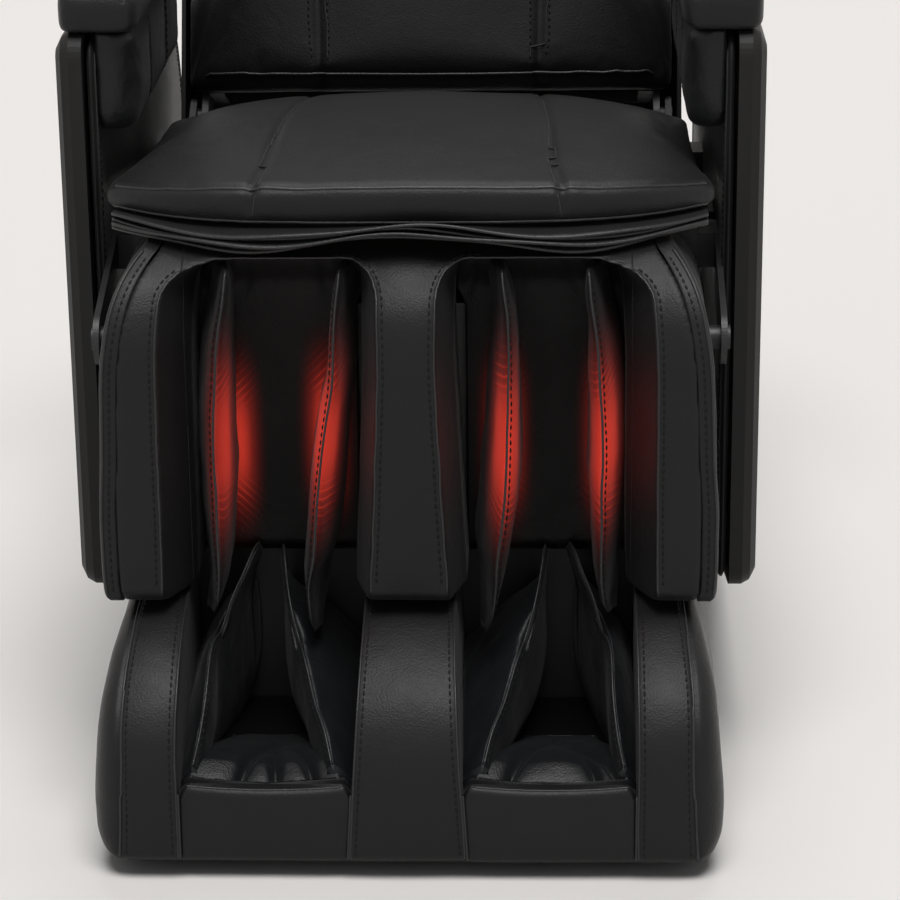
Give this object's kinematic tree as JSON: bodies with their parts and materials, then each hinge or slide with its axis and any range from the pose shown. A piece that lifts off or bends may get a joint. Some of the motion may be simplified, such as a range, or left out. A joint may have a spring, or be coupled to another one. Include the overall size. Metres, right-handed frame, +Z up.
{
  "type": "massage chair",
  "caption": "Reclining massage chair in black leather-look upholstery with a lifting calf and foot massager, heated air pads and a massage carriage in the back.",
  "frame": {"origin": "on the floor, under the middle of the chair's bounding box", "axes": "+Z up; the chair faces -Y, so +X is the side with the control panel, on the right in a front view"},
  "size_m": [0.582, 1.0398, 1.1494],
  "materials": {
    "leather": "satin synthetic leather, stitched",
    "air_pad": "smooth synthetic leather over air bags",
    "black_steel": "matt powder coat",
    "shell": "fine textured black",
    "cover": "matt",
    "wood": "plywood",
    "rubber": "matt",
    "motor": "satin",
    "machine": "cast and machined",
    "bright": "ground",
    "massage_wheel": "satin",
    "button": "satin",
    "heater": "carbon heating film",
    "electric": "satin"
  },
  "bodies": {
    "chassis": {"base_frame": "black_steel", "base_feet": "rubber", "seat_frame": "black_steel", "seat_board": "wood", "seat_cushion": "leather", "seat_front_flap": "leather", "side_shell_left": "shell", "side_shell_right": "shell", "side_liners": "leather", "armrest_left": "leather", "armrest_right": "leather", "arm_air_pads": "air_pad", "control_panel": "cover", "rear_cover": "cover", "power_inlet": "electric", "air_pump": "motor", "control_box": "electric"},
    "caster_left": {"transport_wheel_left": "rubber"},
    "caster_right": {"transport_wheel_right": "rubber"},
    "power_button": {"button_power": "button"},
    "mode_button": {"button_mode": "button"},
    "heat_button": {"button_heat": "button"},
    "rocker": {"power_switch": "electric"},
    "back": {"back_frame": "black_steel", "back_shell": "shell", "back_cushion": "leather", "back_wings": "air_pad", "lift_screw": "bright"},
    "pillow": {"head_pillow": "leather"},
    "carriage": {"massage_carriage": "machine"},
    "arm_left": {"massage_arm_left": "machine"},
    "arm_right": {"massage_arm_right": "machine"},
    "roller_left_upper": {"wheel_left_upper": "massage_wheel"},
    "roller_left_lower": {"wheel_left_lower": "massage_wheel"},
    "roller_right_upper": {"wheel_right_upper": "massage_wheel"},
    "roller_right_lower": {"wheel_right_lower": "massage_wheel"},
    "back_drive": {"back_actuator_tube": "motor"},
    "back_drive_rod": {"back_actuator_rod": "bright"},
    "leg_drive": {"leg_actuator_tube": "motor"},
    "leg_drive_rod": {"leg_actuator_rod": "bright"},
    "leg": {"calf_frame": "black_steel", "calf_shell": "shell", "calf_side_pads": "leather", "calf_bolster_left": "leather", "calf_bolster_right": "leather", "calf_center_cushion": "leather", "calf_back_pads": "leather", "calf_air_pads_outer": "air_pad", "calf_air_pads_inner": "air_pad", "calf_heaters": "heater"},
    "foot": {"foot_tray": "shell", "foot_bolster_left": "leather", "foot_bolster_right": "leather", "foot_bolster_center": "leather", "toe_pads": "leather", "foot_air_pads_outer": "air_pad", "foot_air_pads_inner": "air_pad", "sole_covers": "leather", "foot_rods": "bright"},
    "sole_roller": {"foot_roller": "machine"}
  },
  "joints": [
    {"name": "leg_lift", "type": "hinge", "parent": "chassis", "child": "leg", "pos_m": [0, -0.33989, 0.405], "axis": [-1, 0, 0], "range_deg": [0, 85]},
    {"name": "foot_extend", "type": "slide", "parent": "leg", "child": "foot", "axis": [0, 0, -1], "range_m": [0, 0.12], "stiffness_N_per_m": 250, "springref_m": -0.35},
    {"name": "sole_roller_spin", "type": "hinge", "parent": "foot", "child": "sole_roller", "pos_m": [0, -0.41489, 0.034], "axis": [1, 0, 0], "continuous": true},
    {"name": "back_recline", "type": "hinge", "parent": "chassis", "child": "back", "pos_m": [0, 0.17011, 0.47], "axis": [-1, 0, 0], "range_deg": [0, 42]},
    {"name": "pillow_flip", "type": "hinge", "parent": "back", "child": "pillow", "pos_m": [0, 0.43827, 1.11771], "axis": [-1, 0, 0], "range_deg": [0, 120]},
    {"name": "carriage_lift", "type": "slide", "parent": "back", "child": "carriage", "axis": [0, 0.3746, 0.9272], "range_m": [0, 0.34]},
    {"name": "knead_left", "type": "hinge", "parent": "carriage", "child": "arm_left", "pos_m": [0, 0.28379, 0.58585], "axis": [1, 0, 0], "range_deg": [-12, 12]},
    {"name": "knead_right", "type": "hinge", "parent": "carriage", "child": "arm_right", "pos_m": [0, 0.28379, 0.58585], "axis": [1, 0, 0], "range_deg": [-12, 12]},
    {"name": "wheel_spin_left_upper", "type": "hinge", "parent": "arm_left", "child": "roller_left_upper", "pos_m": [0, 0.27843, 0.64734], "axis": [1, 0, 0], "continuous": true},
    {"name": "wheel_spin_left_lower", "type": "hinge", "parent": "arm_left", "child": "roller_left_lower", "pos_m": [0, 0.23722, 0.54535], "axis": [1, 0, 0], "continuous": true},
    {"name": "wheel_spin_right_upper", "type": "hinge", "parent": "arm_right", "child": "roller_right_upper", "pos_m": [0, 0.27843, 0.64734], "axis": [1, 0, 0], "continuous": true},
    {"name": "wheel_spin_right_lower", "type": "hinge", "parent": "arm_right", "child": "roller_right_lower", "pos_m": [0, 0.23722, 0.54535], "axis": [1, 0, 0], "continuous": true},
    {"name": "back_drive_swing", "type": "hinge", "parent": "chassis", "child": "back_drive", "pos_m": [0, -0.14989, 0.25], "axis": [1, 0, 0], "range_deg": [0, 0.90349]},
    {"name": "back_drive_stroke", "type": "slide", "parent": "back_drive", "child": "back_drive_rod", "axis": [0, 0.9543, 0.2987], "range_m": [-0.08583, 0]},
    {"name": "leg_drive_swing", "type": "hinge", "parent": "chassis", "child": "leg_drive", "pos_m": [0, 0.10011, 0.21], "axis": [1, 0, 0], "range_deg": [0, 11.2]},
    {"name": "leg_drive_stroke", "type": "slide", "parent": "leg_drive", "child": "leg_drive_rod", "axis": [0, -0.9268, 0.3756], "range_m": [0, 0.12613]},
    {"name": "caster_spin_left", "type": "hinge", "parent": "chassis", "child": "caster_left", "pos_m": [0, 0.35811, 0.032], "axis": [1, 0, 0], "continuous": true},
    {"name": "caster_spin_right", "type": "hinge", "parent": "chassis", "child": "caster_right", "pos_m": [0, 0.35811, 0.032], "axis": [1, 0, 0], "continuous": true},
    {"name": "rocker_tilt", "type": "hinge", "parent": "chassis", "child": "rocker", "pos_m": [0, 0.32211, 0.156], "axis": [1, 0, 0], "range_deg": [0, 14]},
    {"name": "power_press", "type": "slide", "parent": "chassis", "child": "power_button", "axis": [0, 0, -1], "range_m": [0, 0.0012], "stiffness_N_per_m": 400, "springref_m": -0.0006},
    {"name": "mode_press", "type": "slide", "parent": "chassis", "child": "mode_button", "axis": [0, 0, -1], "range_m": [0, 0.0012], "stiffness_N_per_m": 400, "springref_m": -0.0006},
    {"name": "heat_press", "type": "slide", "parent": "chassis", "child": "heat_button", "axis": [0, 0, -1], "range_m": [0, 0.0012], "stiffness_N_per_m": 400, "springref_m": -0.0006}
  ],
  "couplings": [
    {"joint": "knead_right", "follows": "knead_left", "ratio": -1},
    {"joint": "back_drive_swing", "follows": "back_recline", "ratio": 0.02151},
    {"joint": "back_drive_stroke", "follows": "back_recline", "m_per_rad": -0.11707},
    {"joint": "leg_drive_swing", "follows": "leg_lift", "ratio": 0.13176},
    {"joint": "leg_drive_stroke", "follows": "leg_lift", "m_per_rad": 0.085014}
  ]
}
